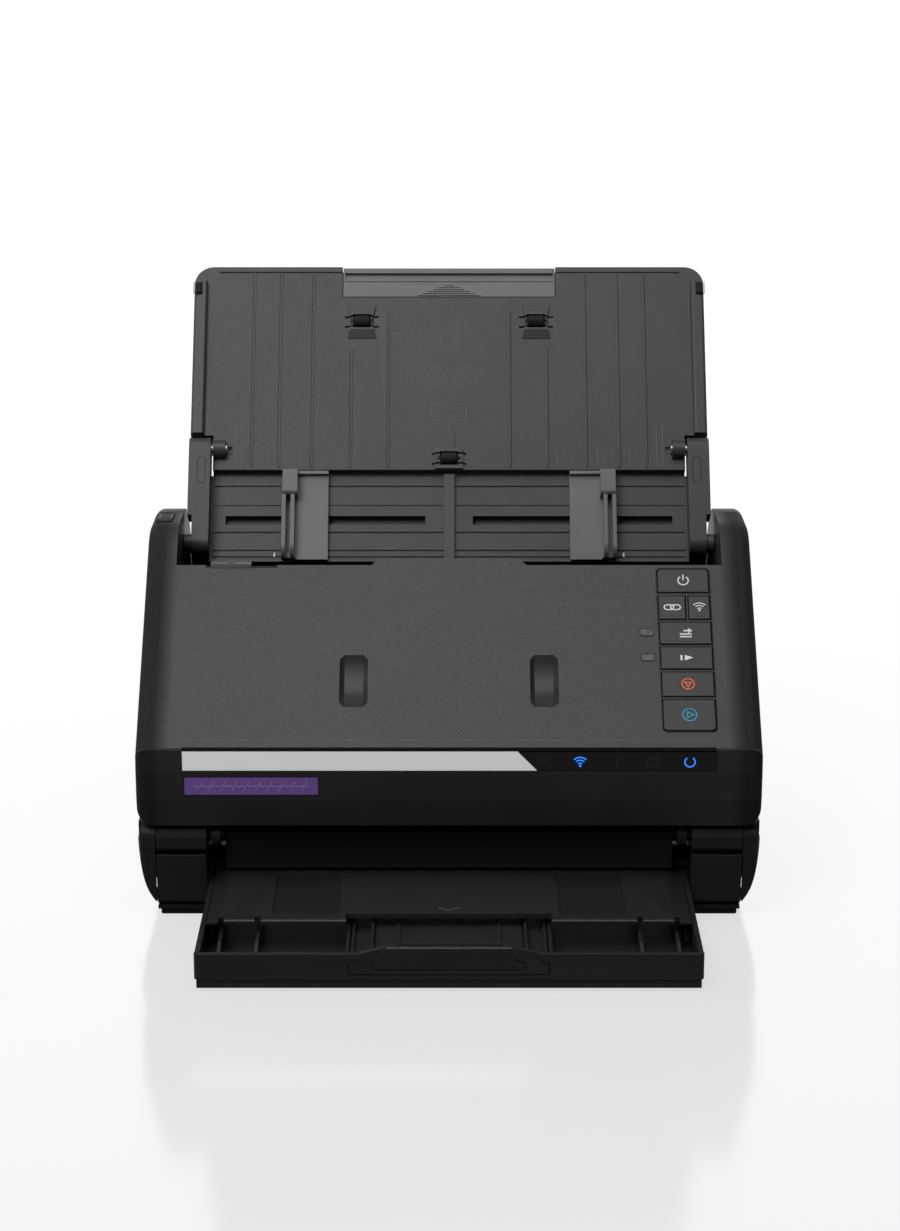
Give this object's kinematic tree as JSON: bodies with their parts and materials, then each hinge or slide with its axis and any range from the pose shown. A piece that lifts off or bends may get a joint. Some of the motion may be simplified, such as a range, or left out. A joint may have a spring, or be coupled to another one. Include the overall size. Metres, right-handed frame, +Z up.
{
  "type": "sheet fed document scanner",
  "caption": "Desktop sheet fed document scanner with folding input tray, hinged front cover, control keys and nested pull-out output tray.",
  "frame": {"origin": "centre of the whole part's footprint, on the table, with the input tray open and the output tray pulled out", "axes": "+X to the scanner's right as seen from its front, +Y to its back, +Z up"},
  "size_m": [0.296, 0.3005, 0.2816],
  "materials": {
    "cover_plastic": "satin moulded",
    "case_plastic": "fine texture",
    "inner_plastic": "moulded",
    "tray_plastic": "fine texture",
    "output_plastic": "fine texture",
    "light_plastic": "satin moulded",
    "steel": "turned",
    "dark_steel": "blackened",
    "rubber": "matt",
    "scan_glass": "polished",
    "sensor_plastic": "moulded",
    "circuit_board": "solder mask",
    "port_plastic": "moulded",
    "gear_plastic": "acetal",
    "silver_trim": "satin silver",
    "black_window": "polished",
    "purple_badge": "satin",
    "lens_plastic": "smoked",
    "button_plastic": "satin"
  },
  "bodies": {
    "base": {"base_frame": "inner_plastic", "left_side_panel": "case_plastic", "right_side_panel": "case_plastic", "rear_cover": "case_plastic", "front_corner_trims": "case_plastic", "hinge_blocks": "case_plastic", "hinge_pins": "dark_steel", "rubber_feet": "rubber", "rear_paper_guide": "inner_plastic", "rear_scan_sensor": "sensor_plastic", "rear_scan_glass": "scan_glass", "main_board": "circuit_board", "dc_inlet": "port_plastic", "usb_port": "port_plastic", "drive_motor": "steel", "drive_belt": "rubber", "case_screws": "steel"},
    "feed_roller_set": {"feed_shaft": "steel", "feed_rollers": "rubber", "feed_gear": "gear_plastic"},
    "pinion": {"motor_pinion": "gear_plastic"},
    "exit_roller_set": {"exit_shaft": "steel", "exit_rollers": "rubber", "exit_pulley": "gear_plastic"},
    "front_cover": {"front_cover_shell": "cover_plastic", "cover_inner_frame": "inner_plastic", "front_scan_sensor": "sensor_plastic", "front_scan_glass": "scan_glass", "silver_trim_strip": "silver_trim", "display_window": "black_window", "badge": "purple_badge", "indicator_lenses": "lens_plastic", "button_board": "circuit_board", "latch_hooks": "port_plastic"},
    "brake_roller": {"separation_roller": "rubber"},
    "pinch_roller_set": {"pinch_rollers": "rubber"},
    "release_tab": {"cover_lever": "case_plastic"},
    "selector": {"feeder_selector": "light_plastic"},
    "lower_tray": {"lower_input_tray": "tray_plastic", "tray_link_pins": "steel"},
    "left_guide": {"left_edge_guide": "light_plastic"},
    "right_guide": {"right_edge_guide": "light_plastic"},
    "guide_gear": {"guide_pinion": "gear_plastic"},
    "upper_tray": {"upper_input_tray": "tray_plastic", "tray_bumpers": "rubber"},
    "upper_rollers": {"upper_tray_rollers": "rubber"},
    "centre_roller": {"lower_tray_roller": "rubber"},
    "extension": {"tray_extension": "light_plastic"},
    "deck": {"output_deck": "output_plastic"},
    "drawer": {"output_drawer": "output_plastic"},
    "slide_1": {"output_extension_1": "output_plastic"},
    "slide_2": {"output_extension_2": "output_plastic"},
    "stopper": {"stopper_flap": "output_plastic"},
    "power_key": {"power_button": "button_plastic"},
    "link_key": {"link_button": "button_plastic"},
    "wireless_key": {"wireless_button": "button_plastic"},
    "double_feed_key": {"double_feed_button": "button_plastic"},
    "slow_mode_key": {"slow_mode_button": "button_plastic"},
    "stop_key": {"stop_button": "button_plastic"},
    "start_key": {"start_button": "button_plastic"}
  },
  "joints": [
    {"name": "cover_hinge", "type": "hinge", "parent": "base", "child": "front_cover", "pos_m": [0, -0.05071, 0.04], "axis": [-1, 0, 0], "range_deg": [-75, 0]},
    {"name": "lower_tray_hinge", "type": "hinge", "parent": "base", "child": "lower_tray", "pos_m": [0, 0.06029, 0.1554], "axis": [1, 0, 0], "range_deg": [0, 115]},
    {"name": "upper_tray_hinge", "type": "hinge", "parent": "lower_tray", "child": "upper_tray", "pos_m": [0, 0.08752, 0.19733], "axis": [1, 0, 0], "range_deg": [0, 53]},
    {"name": "tray_extension_slide", "type": "slide", "parent": "upper_tray", "child": "extension", "axis": [0, -0.5446, -0.8387], "range_m": [-0.058, 0]},
    {"name": "left_guide_slide", "type": "slide", "parent": "lower_tray", "child": "left_guide", "axis": [1, 0, 0], "range_m": [-0.027, 0.053]},
    {"name": "right_guide_slide", "type": "slide", "parent": "lower_tray", "child": "right_guide", "axis": [1, 0, 0], "range_m": [-0.053, 0.027]},
    {"name": "guide_pinion_spin", "type": "hinge", "parent": "lower_tray", "child": "guide_gear", "pos_m": [0, 0.07588, 0.16197], "axis": [0, -0.8387, 0.5446], "range_deg": [-520, 270]},
    {"name": "upper_rollers_spin", "type": "hinge", "parent": "upper_tray", "child": "upper_rollers", "pos_m": [0, 0.12639, 0.25627], "axis": [1, 0, 0], "continuous": true},
    {"name": "centre_roller_spin", "type": "hinge", "parent": "upper_tray", "child": "centre_roller", "pos_m": [0, 0.08543, 0.1932], "axis": [1, 0, 0], "continuous": true},
    {"name": "feed_roller_spin", "type": "hinge", "parent": "base", "child": "feed_roller_set", "pos_m": [0, 0.04287, 0.09278], "axis": [1, 0, 0], "continuous": true},
    {"name": "motor_pinion_spin", "type": "hinge", "parent": "base", "child": "pinion", "pos_m": [0, 0.05563, 0.06774], "axis": [1, 0, 0], "continuous": true},
    {"name": "exit_roller_spin", "type": "hinge", "parent": "base", "child": "exit_roller_set", "pos_m": [0, -0.03571, 0.031], "axis": [1, 0, 0], "continuous": true},
    {"name": "separation_roller_spin", "type": "hinge", "parent": "front_cover", "child": "brake_roller", "pos_m": [0, 0.02409, 0.10498], "axis": [1, 0, 0], "continuous": true},
    {"name": "pinch_rollers_spin", "type": "hinge", "parent": "front_cover", "child": "pinch_roller_set", "pos_m": [0, -0.03671, 0.0454], "axis": [1, 0, 0], "continuous": true},
    {"name": "cover_lever_slide", "type": "slide", "parent": "front_cover", "child": "release_tab", "axis": [0, -1, 0], "range_m": [0, 0.0035], "stiffness_N_per_m": 300},
    {"name": "feeder_selector_slide", "type": "slide", "parent": "front_cover", "child": "selector", "axis": [1, 0, 0], "range_m": [0, 0.012]},
    {"name": "output_deck_slide", "type": "slide", "parent": "base", "child": "deck", "axis": [0, 1, 0], "range_m": [0, 0.053]},
    {"name": "output_drawer_slide", "type": "slide", "parent": "deck", "child": "drawer", "axis": [0, 1, 0], "range_m": [0, 0.0365]},
    {"name": "output_extension_1_slide", "type": "slide", "parent": "drawer", "child": "slide_1", "axis": [0, 1, 0], "range_m": [-0.075, 0]},
    {"name": "output_extension_2_slide", "type": "slide", "parent": "slide_1", "child": "slide_2", "axis": [0, 1, 0], "range_m": [-0.07, 0]},
    {"name": "stopper_hinge", "type": "hinge", "parent": "slide_2", "child": "stopper", "pos_m": [0, -0.14611, 0.0159], "axis": [-1, 0, 0], "range_deg": [-100, 0]},
    {"name": "power_button_press", "type": "slide", "parent": "front_cover", "child": "power_key", "axis": [0, 0.6717, -0.7408], "range_m": [0, 0.0006], "stiffness_N_per_m": 500},
    {"name": "link_button_press", "type": "slide", "parent": "front_cover", "child": "link_key", "axis": [0, 0.6717, -0.7408], "range_m": [0, 0.0006], "stiffness_N_per_m": 500},
    {"name": "wireless_button_press", "type": "slide", "parent": "front_cover", "child": "wireless_key", "axis": [0, 0.6717, -0.7408], "range_m": [0, 0.0006], "stiffness_N_per_m": 500},
    {"name": "double_feed_button_press", "type": "slide", "parent": "front_cover", "child": "double_feed_key", "axis": [0, 0.6717, -0.7408], "range_m": [0, 0.0006], "stiffness_N_per_m": 500},
    {"name": "slow_mode_button_press", "type": "slide", "parent": "front_cover", "child": "slow_mode_key", "axis": [0, 0.6717, -0.7408], "range_m": [0, 0.0006], "stiffness_N_per_m": 500},
    {"name": "stop_button_press", "type": "slide", "parent": "front_cover", "child": "stop_key", "axis": [0, 0.6717, -0.7408], "range_m": [0, 0.0006], "stiffness_N_per_m": 500},
    {"name": "start_button_press", "type": "slide", "parent": "front_cover", "child": "start_key", "axis": [0, 0.6717, -0.7408], "range_m": [0, 0.0006], "stiffness_N_per_m": 500}
  ],
  "couplings": [
    {"joint": "right_guide_slide", "follows": "left_guide_slide", "ratio": -1},
    {"joint": "guide_pinion_spin", "follows": "left_guide_slide", "rad_per_m": -166.67},
    {"joint": "motor_pinion_spin", "follows": "feed_roller_spin", "ratio": -3.6667},
    {"joint": "exit_roller_spin", "follows": "feed_roller_spin", "ratio": 1}
  ]
}
